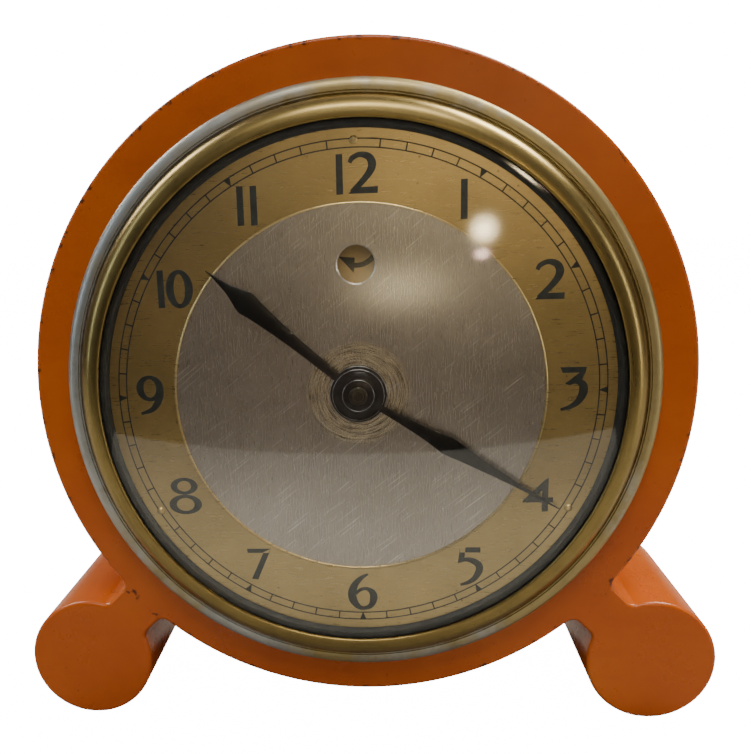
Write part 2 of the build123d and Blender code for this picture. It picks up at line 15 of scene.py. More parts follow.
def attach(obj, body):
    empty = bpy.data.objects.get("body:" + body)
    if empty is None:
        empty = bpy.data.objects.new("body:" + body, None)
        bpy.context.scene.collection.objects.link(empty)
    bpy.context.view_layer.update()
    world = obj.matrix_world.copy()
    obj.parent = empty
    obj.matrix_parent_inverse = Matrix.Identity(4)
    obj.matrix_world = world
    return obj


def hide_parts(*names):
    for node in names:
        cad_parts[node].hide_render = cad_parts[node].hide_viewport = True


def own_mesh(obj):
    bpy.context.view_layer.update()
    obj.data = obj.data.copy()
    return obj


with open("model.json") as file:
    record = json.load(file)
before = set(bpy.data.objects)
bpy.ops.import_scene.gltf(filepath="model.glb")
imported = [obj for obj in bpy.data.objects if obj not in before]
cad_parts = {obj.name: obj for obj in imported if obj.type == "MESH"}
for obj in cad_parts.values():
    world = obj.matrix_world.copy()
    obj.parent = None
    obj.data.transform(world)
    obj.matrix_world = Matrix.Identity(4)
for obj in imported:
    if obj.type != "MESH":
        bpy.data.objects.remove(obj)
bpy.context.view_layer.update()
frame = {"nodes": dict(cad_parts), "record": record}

# ---------------------------------------------------------------- sizes, mm
FACE_Y = -19.95          # front face of the case, in the row frame
CENTRE_Z = 71.12         # height of the dial's centre
CASE_R = 65.0            # round body of the case
CASE_DEPTH = 42.0
BORE_R = 54.0
REBATE_R = 57.0
REBATE = 3.5
EDGE_ROUND = 0.8
FOOT_R = 13.07
FOOT_X = 59.2
FOOT_Y = -58.3
WEB_TOP = 5.6
WEB_BOTTOM = -4.35
WEB_FILLET = 1.8
CHAPTER_FRONT = 4.0
DIAL_FRONT = 3.6
INDICATOR = (0.0, 24.4)
SETTER = (0.0, -17.0)
CORD_ENTRY = (0.0, -46.5)
COVER_BACK = -40.5
COVER_FRONT = -38.5
COVER_R = 56.7
KNOB_R = 6.5
KNOB_END = -52.0
DIAL_R = 51.9
WINDOW_R = 3.5
DISC_FRONT = 1.52       # face of the cream disc behind the window
RIVET_R = 46.4          # circle the dial rivets stand on
INK_THICK = 0.03
HOUR_ANGLE = 310.5
MINUTE_ANGLE = 121.0
TURN = 2 * math.pi


def at(x, y, z):
    return Vector((x, FACE_Y - z, y + CENTRE_Z)) * 0.001


# ---------------------------------------------------------------- mesh helpers
def finish_mesh(name, bm, material, body, nodes=(), angle=35.0):
    """Turns a bmesh into a piece of the model, smooth shaded up to the given angle."""
    bmesh.ops.recalc_face_normals(bm, faces=bm.faces)
    mesh = bpy.data.meshes.new(name)
    bm.to_mesh(mesh)
    bm.free()
    mesh.polygons.foreach_set("use_smooth", [True] * len(mesh.polygons))
    mesh.set_sharp_from_angle(angle=math.radians(angle))
    obj = bpy.data.objects.new(name, mesh)
    bpy.context.scene.collection.objects.link(obj)
    mesh.materials.append(material)
    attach(obj, body)
    if nodes:
        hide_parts(*nodes)
    return obj


def add_lathe(bm, profile, segments=128, centre=(0.0, 0.0), closed=True):
    """Turns a profile of (radius, depth) points about the depth axis through centre."""
    rings = []
    for r, z in profile:
        if r < 1e-6:
            rings.append([bm.verts.new(at(centre[0], centre[1], z))])
            continue
        rings.append([bm.verts.new(at(x, y, z)) for x, y in ring_points(centre, r, segments)])
    pairs = list(zip(rings, rings[1:]))
    if closed:
        pairs.append((rings[-1], rings[0]))
    for a, b in pairs:
        if len(a) == 1 and len(b) == 1:
            continue
        for i in range(segments):
            j = (i + 1) % segments
            if len(a) == 1:
                bm.faces.new((a[0], b[i], b[j]))
            elif len(b) == 1:
                bm.faces.new((a[i], a[j], b[0]))
            else:
                bm.faces.new((a[i], a[j], b[j], b[i]))
    return rings


def ring_points(centre, radius, count):
    """Points of a circle in the face's plane, as a list of (x, y)."""
    angles = [TURN * i / count for i in range(count)]
    return [(centre[0] + radius * math.cos(a), centre[1] + radius * math.sin(a)) for a in angles]


def add_band(bm, a, b):
    """Quads between two closed loops with the same number of vertices."""
    for i in range(len(a)):
        j = (i + 1) % len(a)
        bm.faces.new((a[i], a[j], b[j], b[i]))


def arc_points(centre, radius, start, end, steps):
    """Points on an arc in a profile, angles in degrees."""
    points = []
    for i in range(steps + 1):
        a = math.radians(start + (end - start) * i / steps)
        points.append((centre[0] + radius * math.cos(a), centre[1] + radius * math.sin(a)))
    return points


def smooth_path(points, steps):
    """Catmull-Rom curve through points of any dimension."""
    ends = [points[0], *points, points[-1]]
    result = []
    for a, b, c, d in zip(ends, ends[1:], ends[2:], ends[3:]):
        for i in range(steps):
            t = i / steps
            result.append(tuple(
                0.5 * (2 * q + (r - p) * t + (2 * p - 5 * q + 4 * r - s) * t * t
                       + (3 * q - p - 3 * r + s) * t ** 3)
                for p, q, r, s in zip(a, b, c, d)))
    result.append(tuple(points[-1]))
    return result


def rounded(profile, radius, steps=4):
    """Rounds each corner of a closed profile of (radius, depth) points."""
    result = []
    count = len(profile)
    for i, p in enumerate(profile):
        before = Vector(profile[i - 1]) - Vector(p)
        after = Vector(profile[(i + 1) % count]) - Vector(p)
        cut = min(radius, before.length * 0.45, after.length * 0.45)
        a = Vector(p) + before.normalized() * cut
        b = Vector(p) + after.normalized() * cut
        for k in range(steps + 1):
            t = k / steps
            q = a * (1 - t) ** 2 + Vector(p) * 2 * t * (1 - t) + b * t * t
            result.append((q.x, q.y))
    return result


def turned(name, profile, material, body, nodes=(), segments=128, centre=(0.0, 0.0), angle=35.0):
    bm = bmesh.new()
    add_lathe(bm, profile, segments, centre)
    return finish_mesh(name, bm, material, body, nodes, angle)


# ---------------------------------------------------------------- materials
def new_material(name, colour, metallic=0.0, roughness=0.4, **sockets):
    mat = bpy.data.materials.new(name)
    mat.use_nodes = True
    shader = mat.node_tree.nodes["Principled BSDF"]
    shader.inputs["Base Color"].default_value = (*colour, 1.0)
    shader.inputs["Metallic"].default_value = metallic
    shader.inputs["Roughness"].default_value = roughness
    for socket, value in sockets.items():
        shader.inputs[socket.replace("_", " ")].default_value = value
    return mat


class Nodes:
    """Short names for building a material's node tree."""

    def __init__(self, mat):
        self.tree = mat.node_tree
        self.shader = self.tree.nodes.get("Principled BSDF")

    def add(self, kind, **values):
        node = self.tree.nodes.new(kind)
        for key, value in values.items():
            setattr(node, key, value)
        return node

    def link(self, a, b):
        self.tree.links.new(a, b)

    def put(self, socket, value):
        if isinstance(value, (int, float)):
            socket.default_value = value
        elif isinstance(value, tuple):
            opaque = len(value) == 3 and len(socket.default_value) == 4
            socket.default_value = (*value, 1.0) if opaque else value
        else:
            self.link(value, socket)

    def position(self):
        return self.add("ShaderNodeTexCoord").outputs["Object"]

    def math(self, operation, a, b=0.0, clamp=False):
        node = self.add("ShaderNodeMath", operation=operation, use_clamp=clamp)
        self.put(node.inputs[0], a)
        self.put(node.inputs[1], b)
        return node.outputs[0]

    def stretched(self, vector, scale):
        node = self.add("ShaderNodeVectorMath", operation="MULTIPLY")
        self.put(node.inputs[0], vector)
        self.put(node.inputs[1], scale)
        return node.outputs[0]

    def noise(self, vector, scale, detail=4.0, roughness=0.55):
        node = self.add("ShaderNodeTexNoise")
        self.put(node.inputs["Vector"], vector)
        node.inputs["Scale"].default_value = scale
        node.inputs["Detail"].default_value = detail
        node.inputs["Roughness"].default_value = roughness
        return node.outputs["Fac"]

    def cells(self, vector, scale):
        node = self.add("ShaderNodeTexVoronoi")
        self.put(node.inputs["Vector"], vector)
        node.inputs["Scale"].default_value = scale
        return node.outputs["Distance"]

    def ramp(self, value, *stops):
        """Stops of (position, grey or colour)."""
        node = self.add("ShaderNodeValToRGB")
        self.put(node.inputs[0], value)
        elements = node.color_ramp.elements
        while len(elements) < len(stops):
            elements.new(0.5)
        for element, (where, colour) in zip(elements, stops):
            element.position = where
            element.color = (colour,) * 3 + (1.0,) if isinstance(colour, (int, float)) else (*colour, 1.0)
        return node.outputs[0]

    def mix(self, factor, a, b, blend="MIX"):
        node = self.add("ShaderNodeMix", data_type="RGBA", blend_type=blend)
        self.put(node.inputs[0], factor)
        self.put(node.inputs[6], a)
        self.put(node.inputs[7], b)
        return node.outputs[2]

    def colour(self, value):
        self.put(self.shader.inputs["Base Color"], value)

    def roughness(self, value):
        self.put(self.shader.inputs["Roughness"], value)

    def bump(self, height, strength, distance=0.0001):
        node = self.add("ShaderNodeBump")
        node.inputs["Strength"].default_value = strength
        node.inputs["Distance"].default_value = distance
        self.put(node.inputs["Height"], height)
        self.link(node.outputs[0], self.shader.inputs["Normal"])

    def polar(self, centre=(0.0, 0.0)):
        """Radius in metres, angle in radians, and x and z in metres, about the clock's depth axis."""
        split = self.add("ShaderNodeSeparateXYZ")
        self.link(self.position(), split.inputs[0])
        x = self.math("SUBTRACT", split.outputs["X"], centre[0] * 0.001)
        z = self.math("SUBTRACT", split.outputs["Z"], (centre[1] + CENTRE_Z) * 0.001)
        squares = self.math("ADD", self.math("MULTIPLY", x, x), self.math("MULTIPLY", z, z))
        radius = self.math("POWER", squares, 0.5)
        return radius, self.math("ARCTAN2", z, x), x, z

    def vector(self, x, y, z=0.0):
        node = self.add("ShaderNodeCombineXYZ")
        for socket, value in zip(node.inputs, (x, y, z)):
            self.put(socket, value)
        return node.outputs[0]


def shade_of(colour, factor):
    return tuple(min(1.0, c * factor) for c in colour)


def band(n, radius, inner, outer, soft):
    """1 between two radii in mm, fading over soft mm at each side."""
    up = n.math("MULTIPLY", n.math("SUBTRACT", radius, (inner - soft) * 0.001), 1000 / soft, clamp=True)
    down = n.math("MULTIPLY", n.math("SUBTRACT", (outer + soft) * 0.001, radius), 1000 / soft, clamp=True)
    return n.math("MULTIPLY", up, down)


def phenolic():
    """Amber cast phenolic: faint clouding, fine polishing scratches, pits and dark nicks."""
    mat = new_material("amber_phenolic", (0.40, 0.115, 0.006), roughness=0.3)
    n = Nodes(mat)
    n.shader.inputs["Subsurface Weight"].default_value = 0.06
    n.shader.inputs["Subsurface Radius"].default_value = (0.004, 0.0012, 0.0003)
    n.shader.inputs["Subsurface Scale"].default_value = 1.0
    n.shader.inputs["Specular IOR Level"].default_value = 0.42
    where = n.position()
    cloud = n.noise(n.stretched(where, (1.0, 0.5, 1.0)), 32.0, 5.0, 0.6)
    base = n.ramp(cloud, (0.25, (0.40, 0.066, 0.0006)), (0.5, (0.48, 0.090, 0.001)),
                  (0.8, (0.55, 0.120, 0.002)))
    streak = n.noise(n.stretched(where, (2.0, 0.3, 7.0)), 55.0, 4.0)
    base = n.mix(n.ramp(streak, (0.55, 0.0), (0.8, 0.22)), base, (0.36, 0.052, 0.0006))
    speck = n.cells(where, 760.0)
    patch = n.noise(where, 62.0, 3.0)
    pits = n.math("MULTIPLY", n.ramp(speck, (0.05, 1.0), (0.14, 0.0)),
                  n.ramp(patch, (0.54, 0.0), (0.66, 1.0)))
    radius, angle, _, _ = n.polar()
    along_rim = n.vector(n.math("MULTIPLY", angle, 26.0), n.math("MULTIPLY", radius, 500.0))
    chips = n.ramp(n.noise(along_rim, 1.0, 4.0, 0.7), (0.56, 0.0), (0.61, 1.0))
    split = n.add("ShaderNodeSeparateXYZ")
    n.link(where, split.inputs[0])
    behind = n.math("SUBTRACT", split.outputs["Y"], (FACE_Y + 1.4) * 0.001)
    near_face = n.math("MULTIPLY", behind, -900.0, clamp=True)
    edge = n.math("MULTIPLY", band(n, radius, 64.2, 66.0, 0.35), near_face)
    pits = n.math("MAXIMUM", pits, n.math("MULTIPLY", chips, edge))
    base = n.mix(n.math("MULTIPLY", pits, 0.9), base, (0.05, 0.010, 0.001))
    n.colour(base)
    smear = n.noise(where, 90.0, 6.0, 0.7)
    n.roughness(n.ramp(smear, (0.3, 0.24), (0.75, 0.38)))
    fine = n.noise(n.stretched(where, (1.0, 1.0, 3.0)), 1500.0, 3.0)
    n.bump(n.math("SUBTRACT", n.math("MULTIPLY", fine, 0.25), pits), 0.35, 0.00008)
    return mat


def plated_brass():
    """Bezel: nickel worn through to aged brass, with fine turning lines; the nickel gathers on the left
    side, where it is partly a painted reflection of cool light.
    """
    mat = new_material("worn_bezel", (0.5, 0.42, 0.22), metallic=1.0, roughness=0.3)
    n = Nodes(mat)
    radius, angle, x, _ = n.polar()
    around = n.vector(n.math("MULTIPLY", angle, 3.0), n.math("MULTIPLY", radius, 900.0))
    turned_lines = n.noise(around, 2.2, 5.0, 0.7)
    # nickel patches pushed towards the left: worn plating, and partly a painted reflection of the cool light
    # at the left
    patch = n.math("SUBTRACT", n.noise(n.position(), 34.0, 5.0, 0.6), n.math("MULTIPLY", x, 2.0))
    nickel_and_painted_reflection = n.math("MULTIPLY", n.ramp(patch, (0.47, 0.0), (0.60, 0.85)), band(n, radius, 54.8, 58.0, 0.8))
    brass = n.ramp(turned_lines, (0.2, (0.23, 0.165, 0.056)), (0.5, (0.33, 0.245, 0.092)),
                   (0.8, (0.44, 0.35, 0.16)))
    gold = n.mix(n.math("MULTIPLY", band(n, radius, 50.0, 53.9, 0.6), 0.7), brass, (0.30, 0.215, 0.075))
    outside = band(n, radius, 54.9, 58.0, 0.5)
    gold = n.mix(n.math("MULTIPLY", outside, 0.4), gold, (0.50, 0.42, 0.24))
    base = n.mix(nickel_and_painted_reflection, gold, (0.46, 0.48, 0.49))
    stain = n.noise(n.position(), 130.0, 6.0, 0.7)
    base = n.mix(n.ramp(stain, (0.48, 0.0), (0.75, 0.6)), base, (0.16, 0.125, 0.05))
    n.colour(base)
    n.roughness(n.math("ADD", n.ramp(turned_lines, (0.2, 0.40), (0.8, 0.22)),
                       n.math("MULTIPLY", outside, 0.14)))
    n.bump(n.math("ADD", turned_lines, n.math("MULTIPLY", stain, 0.4)), 0.12, 0.00006)
    return mat


def brushed_silver():
    """Dial centre: satin silver brushed up and down, scratched, worn in rings at the middle."""
    mat = new_material("dial_silver", (0.6, 0.58, 0.57), metallic=1.0, roughness=0.34)
    n = Nodes(mat)
    radius, angle, x, z = n.polar()
    grain = n.noise(n.vector(n.math("MULTIPLY", x, 4200.0), n.math("MULTIPLY", z, 220.0)), 1.0, 6.0, 0.75)
    cloud = n.noise(n.position(), 38.0, 4.0)
    base = n.ramp(cloud, (0.3, (0.40, 0.36, 0.33)), (0.7, (0.52, 0.48, 0.45)))
    base = n.mix(n.ramp(grain, (0.35, 0.0), (0.75, 0.12)), base, (0.64, 0.61, 0.58))
    around = n.vector(n.math("MULTIPLY", angle, 0.9), n.math("MULTIPLY", radius, 2600.0))
    rings = n.noise(around, 1.6, 6.0, 0.75)
    worn = n.math("MULTIPLY", band(n, radius, 4.0, 9.0, 1.3), n.ramp(rings, (0.42, 0.1), (0.56, 1.0)))
    base = n.mix(n.math("MULTIPLY", worn, 0.85), base, (0.95, 0.85, 0.62))
    around = n.vector(n.math("MULTIPLY", angle, 1.4), n.math("MULTIPLY", radius, 5200.0))
    score = n.ramp(n.noise(around, 1.0, 3.0), (0.52, 0.0), (0.60, 0.85))
    base = n.mix(n.math("MULTIPLY", score, band(n, radius, 4.2, 9.3, 1.0)), base, (0.10, 0.075, 0.045))
    tilt = n.vector(n.math("ADD", n.math("MULTIPLY", x, 80.0), n.math("MULTIPLY", z, 55.0)),
                    n.math("SUBTRACT", n.math("MULTIPLY", x, 2600.0), n.math("MULTIPLY", z, 3300.0)))
    scratch = n.ramp(n.noise(tilt, 1.0, 1.0), (0.66, 0.0), (0.70, 1.0))
    base = n.mix(n.math("MULTIPLY", scratch, 0.6), base, (0.92, 0.90, 0.86))
    dust = n.math("MULTIPLY", n.ramp(n.cells(n.position(), 700.0), (0.05, 1.0), (0.12, 0.0)),
                  n.ramp(n.noise(n.position(), 260.0, 2.0), (0.54, 0.0), (0.60, 1.0)))
    base = n.mix(n.math("MULTIPLY", dust, 0.6), base, (0.95, 0.93, 0.88))
    n.colour(base)
    n.roughness(n.ramp(n.math("ADD", grain, n.math("MULTIPLY", worn, -0.25)), (0.2, 0.25), (0.8, 0.31)))
    height = n.math("ADD", grain, n.math("MULTIPLY", n.math("MULTIPLY", rings, worn), 1.6))
    n.bump(height, 0.07, 0.00006)
    return mat


def gilt(name="dial_gilt", colour=(0.50, 0.375, 0.17)):
    """Lacquered gilt ring with fine lines round the dial and brown age spots."""
    mat = new_material(name, colour, metallic=1.0, roughness=0.36)
    n = Nodes(mat)
    _, _, x, z = n.polar()
    lines = n.noise(n.vector(n.math("MULTIPLY", x, 260.0), n.math("MULTIPLY", z, 2600.0)), 1.0, 6.0, 0.7)
    cloud = n.noise(n.position(), 45.0, 5.0)
    base = n.ramp(cloud, (0.3, shade_of(colour, 0.80)), (0.7, shade_of(colour, 1.12)))
    base = n.mix(n.ramp(lines, (0.4, 0.0), (0.75, 0.32)), base, shade_of(colour, 1.3))
    spots = n.math("MULTIPLY", n.ramp(n.cells(n.position(), 420.0), (0.05, 1.0), (0.12, 0.0)),
                   n.ramp(n.noise(n.position(), 150.0, 2.0), (0.56, 0.0), (0.62, 1.0)))
    base = n.mix(n.math("MULTIPLY", spots, 0.6), base, (0.12, 0.08, 0.04))
    n.colour(base)
    n.roughness(n.ramp(lines, (0.2, 0.24), (0.8, 0.34)))
    n.bump(lines, 0.10, 0.00005)
    return mat


def machined(name, colour, roughness=0.3, wear=(0.5, 0.5, 0.5), scale=600.0):
    """Turned or rolled metal with fine grain, slight tarnish and handling marks."""
    mat = new_material(name, colour, metallic=1.0, roughness=roughness)
    n = Nodes(mat)
    where = n.position()
    grain = n.noise(n.stretched(where, (4.0, 0.6, 4.0)), scale, 4.0, 0.6)
    tarnish = n.noise(where, 110.0, 5.0, 0.6)
    base = n.ramp(grain, (0.3, shade_of(colour, 0.82)), (0.75, shade_of(colour, 1.15)))
    n.colour(n.mix(n.ramp(tarnish, (0.5, 0.0), (0.8, 0.5)), base, wear))
    n.roughness(n.ramp(tarnish, (0.3, roughness * 0.85), (0.75, roughness * 1.35)))
    n.bump(grain, 0.12, 0.00005)
    return mat


def moulded(name, colour, roughness=0.42, mottle=1.6, specular=0.5, scale=140.0):
    """Moulded or painted surface: faint mottling, dust and a slightly uneven skin."""
    mat = new_material(name, colour, roughness=roughness)
    n = Nodes(mat)
    n.shader.inputs["Specular IOR Level"].default_value = specular
    where = n.position()
    cloud = n.noise(where, scale, 6.0, 0.65)
    n.colour(n.ramp(cloud, (0.35, colour), (0.8, shade_of(colour, mottle))))
    n.roughness(n.ramp(n.noise(where, 260.0, 5.0), (0.3, roughness * 0.8), (0.75, roughness * 1.3)))
    n.bump(n.noise(where, 900.0, 4.0), 0.15, 0.00006)
    return mat


def clear_glass():
    """Window glass: bends what is seen through it, and lets the lamps reach the dial."""
    mat = new_material("window_glass", (0.98, 0.99, 0.985), roughness=0.0)
    n = Nodes(mat)
    n.shader.inputs["Transmission Weight"].default_value = 1.0
    n.shader.inputs["IOR"].default_value = 1.5
    through = n.add("ShaderNodeBsdfTransparent")
    light = n.add("ShaderNodeLightPath")
    blend = n.add("ShaderNodeMixShader")
    n.link(light.outputs["Is Shadow Ray"], blend.inputs[0])
    n.link(n.shader.outputs[0], blend.inputs[1])
    n.link(through.outputs[0], blend.inputs[2])
    n.link(blend.outputs[0], n.tree.nodes["Material Output"].inputs[0])
    return mat


def taped_coil():
    """Varnished cloth tape wound round the coil."""
    colour = (0.10, 0.19, 0.10)
    mat = new_material("coil_tape", colour, roughness=0.5)
    n = Nodes(mat)
    wave = n.add("ShaderNodeTexWave", wave_type="BANDS", bands_direction="X")
    n.link(n.position(), wave.inputs["Vector"])
    wave.inputs["Scale"].default_value = 180.0
    wave.inputs["Distortion"].default_value = 0.6
    n.colour(n.ramp(wave.outputs["Fac"], (0.2, (0.06, 0.12, 0.06)), (0.7, (0.13, 0.24, 0.12))))
    n.roughness(n.ramp(n.noise(n.position(), 300.0), (0.3, 0.38), (0.8, 0.6)))
    n.bump(wave.outputs["Fac"], 0.5, 0.0002)
    return mat


def laminated():
    """Stack of thin varnished iron sheets."""
    mat = new_material("laminations", (0.10, 0.11, 0.13), metallic=0.7, roughness=0.45)
    n = Nodes(mat)
    wave = n.add("ShaderNodeTexWave", wave_type="BANDS", bands_direction="Y")
    n.link(n.position(), wave.inputs["Vector"])
    wave.inputs["Scale"].default_value = 320.0
    n.colour(n.ramp(wave.outputs["Fac"], (0.2, (0.05, 0.055, 0.065)), (0.8, (0.15, 0.16, 0.18))))
    n.roughness(n.ramp(n.noise(n.position(), 200.0), (0.3, 0.35), (0.8, 0.55)))
    n.bump(wave.outputs["Fac"], 0.6, 0.0001)
    return mat


BRASS = (0.66, 0.49, 0.20)
MATERIALS = {
    "case": phenolic(),
    "bezel": plated_brass(),
    "glass": clear_glass(),
    "black_paint": moulded("black_gloss", (0.003, 0.003, 0.003), 0.22, 1.5, 0.25),
    "dial_silver": brushed_silver(),
    "dial_gilt": gilt(),
    "brass": machined("brass", BRASS, 0.3, (0.34, 0.24, 0.10)),
    "steel": machined("steel", (0.50, 0.51, 0.52), 0.28, (0.30, 0.28, 0.26)),
    "tin_plate": machined("zinc_plate", (0.46, 0.47, 0.48), 0.42, (0.36, 0.35, 0.33)),
    "black_plastic": moulded("black_phenolic", (0.012, 0.010, 0.009), 0.38, 1.5),
    "laminations": laminated(),
    "winding": taped_coil(),
    "lead": moulded("red_lead", (0.30, 0.035, 0.02), 0.6, 1.4, scale=400.0),
    # the disc's cream is darkened all over: painted shade of the recess behind the dial window
    "indicator": moulded("cream_disc_painted_shade", (0.26, 0.165, 0.052), 0.45, 1.3, scale=260.0),
    "rotor": machined("die_cast", (0.58, 0.59, 0.60), 0.4, (0.40, 0.40, 0.40)),
    "rubber": moulded("black_rubber", (0.02, 0.02, 0.02), 0.65, 1.8, 0.3),
    "spring_steel": machined("spring_steel", (0.34, 0.36, 0.40), 0.25, (0.22, 0.20, 0.18)),
}
WORN_BLACK = machined("worn_black", (0.045, 0.042, 0.03), 0.33, (0.30, 0.27, 0.17), 900.0)
INK = moulded("dial_ink", (0.010, 0.012, 0.011), 0.40, 2.6, 0.4, 700.0)
# black of the sight ring, which also stands as painted shade under the bezel's lip
SIGHT_BLACK_AND_SHADE = moulded("sight_black_and_painted_shade", (0.012, 0.013, 0.012), 0.5, 2.4, 0.35)
# brighter copy of the dial gilt: a painted highlight for the bead on the chapter ring's inner edge
HIGHLIGHT_GILT = gilt("gilt_painted_highlight", (0.85, 0.66, 0.30))

for entry in frame["record"]["subparts"]:
    node = frame["nodes"][entry["node"]]
    node.data.materials.clear()
    node.data.materials.append(MATERIALS[entry["material_slot"]])


frame["nodes"]["centre_arbor"].data.materials[0] = WORN_BLACK


# ---------------------------------------------------------------- case
def case_outline(draw_in):
    """Outline of the case, anticlockwise, drawn in by a distance along its normals."""
    reach = math.hypot(FOOT_X, FOOT_Y)
    lean = math.atan2(FOOT_Y, FOOT_X)
    points = []

    def sweep(cx, cy, radius, start, end, step_mm, hollow=False):
        steps = max(2, int(abs(end - start) * radius / step_mm))
        r = radius + draw_in if hollow else radius - draw_in
        for i in range(steps + 1):
            a = start + (end - start) * i / steps
            u, v = cx + r * math.cos(a), cy + r * math.sin(a)
            points.append((u * math.cos(lean) - v * math.sin(lean),
                           u * math.sin(lean) + v * math.cos(lean)))

    def corners(level, side):
        """Centres and tangent angles of the two fillets beside one edge of the web."""
        v = side * (abs(level) + WEB_FILLET)
        near = math.sqrt((CASE_R + WEB_FILLET) ** 2 - v * v)
        far = reach - math.sqrt((FOOT_R + WEB_FILLET) ** 2 - v * v)
        return (near, v, math.atan2(v, near)), (far, v, math.atan2(v, far - reach))

    (low_near, low_v, low_a), (low_far, _, low_b) = corners(WEB_BOTTOM, -1)
    (top_near, top_v, top_a), (top_far, _, top_b) = corners(WEB_TOP, 1)
    sweep(0, 0, CASE_R, -math.pi / 2 - lean, low_a, 1.2)
    sweep(low_near, low_v, WEB_FILLET, low_a + math.pi, math.pi / 2, 0.3, True)
    sweep(low_far, low_v, WEB_FILLET, math.pi / 2, low_b + math.pi, 0.3, True)
    sweep(reach, 0, FOOT_R, low_b, top_b, 0.5)
    sweep(top_far, top_v, WEB_FILLET, top_b - math.pi, -math.pi / 2, 0.3, True)
    sweep(top_near, top_v, WEB_FILLET, -math.pi / 2, top_a - math.pi, 0.3, True)
    sweep(0, 0, CASE_R, top_a, math.pi / 2 - lean, 1.2)
    floor = -CENTRE_Z
    right = [(x, max(y, floor)) for x, y in points]
    left = [(-x, y) for x, y in reversed(right[1:-1])]
    return right + left


def circle(radius, count, z, bm, centre=(0.0, 0.0)):
    return [bm.verts.new(at(x, y, z)) for x, y in ring_points(centre, radius, count)]


def build_case():
    bm = bmesh.new()
    rings = []
    steps = 6
    for i in range(steps + 1):
        a = math.pi / 2 * i / steps
        rings.append((EDGE_ROUND * (1 - math.sin(a)), -EDGE_ROUND * (1 - math.cos(a))))
    for depth in (-10.0, -21.0, -32.0):
        rings.append((0.0, depth))
    for i in range(steps + 1):
        a = math.pi / 2 * i / steps
        rings.append((EDGE_ROUND * (1 - math.cos(a)), -CASE_DEPTH + EDGE_ROUND * (1 - math.sin(a))))
    loops = [[bm.verts.new(at(x, y, z)) for x, y in case_outline(draw_in)] for draw_in, z in rings]
    for a, b in zip(loops, loops[1:]):
        add_band(bm, a, b)
    segments = 160
    step = -CASE_DEPTH + REBATE
    steps_in = ((BORE_R, 0.0), (BORE_R, step), (REBATE_R, step), (REBATE_R, -CASE_DEPTH))
    bore = [circle(radius, segments, z, bm) for radius, z in steps_in]
    for a, b in zip(bore, bore[1:]):
        add_band(bm, b, a)
    for rim, hole in ((loops[0], bore[0]), (loops[-1], bore[-1])):
        verts = rim + hole
        for tri in tessellate_polygon([[v.co for v in rim], [v.co for v in hole]]):
            bm.faces.new([verts[k] for k in tri])
    obj = finish_mesh("case", bm, MATERIALS["case"], "case", ("case_body",), 50.0)
    weighted = obj.modifiers.new("weighted", "WEIGHTED_NORMAL")
    weighted.keep_sharp = True
    return obj


# ---------------------------------------------------------------- bezel and glass
def build_bezel():
    flange = smooth_path([(57.5, 2.2), (57.32, 2.95), (56.75, 3.55), (56.0, 3.85), (55.3, 3.95)], 5)
    grooves = [(55.12, 3.95), (55.02, 3.72), (54.92, 3.72), (54.82, 3.98), (54.68, 4.0), (54.58, 3.78),
               (54.48, 3.80), (54.38, 4.1)]
    crown = smooth_path([(54.2, 4.45), (53.85, 5.35), (53.2, 6.2), (52.3, 6.85), (51.3, 7.2),
                         (50.6, 7.35)], 6)
    lip = [(50.35, 7.36), (50.2, 7.28), (50.1, 7.1), (50.1, 6.65)]
    under = [(51.95, 6.65), (51.95, 0.85), (56.6, 0.85), (56.6, 0.0), (57.5, 0.0)]
    profile = flange + grooves + crown + lip + under
    turned("bezel", profile, MATERIALS["bezel"], "case", ("bezel_ring",), 256, angle=40.0)


def build_glass():
    rise, rim, back, thick = 5.5, 50.0, 5.2, 1.4
    sphere = (rim * rim + rise * rise) / (2 * rise)

    def dome(level, r):
        return level + rise - sphere + math.sqrt(sphere * sphere - r * r)

    steps = 28
    inner = [(rim * i / steps, dome(back, rim * i / steps)) for i in range(steps + 1)]
    outer = [(rim * i / steps, dome(back + thick, rim * i / steps)) for i in range(steps, -1, -1)]
    profile = inner + [(DIAL_R, back), (DIAL_R, back + thick)] + outer
    bm = bmesh.new()
    add_lathe(bm, profile, 160, closed=False)
    finish_mesh("glass", bm, MATERIALS["glass"], "case", ("window_glass",), 40.0)
    # black sight ring widened inwards over the dial's edge: its black is the ring's own finish and partly
    # painted shade under the bezel
    ring = rounded([(48.4, CHAPTER_FRONT), (DIAL_R, CHAPTER_FRONT), (DIAL_R, back), (49.0, back)], 0.25)
    turned("sight_ring_black_and_shade", ring, SIGHT_BLACK_AND_SHADE, "case", ("sight_ring",), 192)


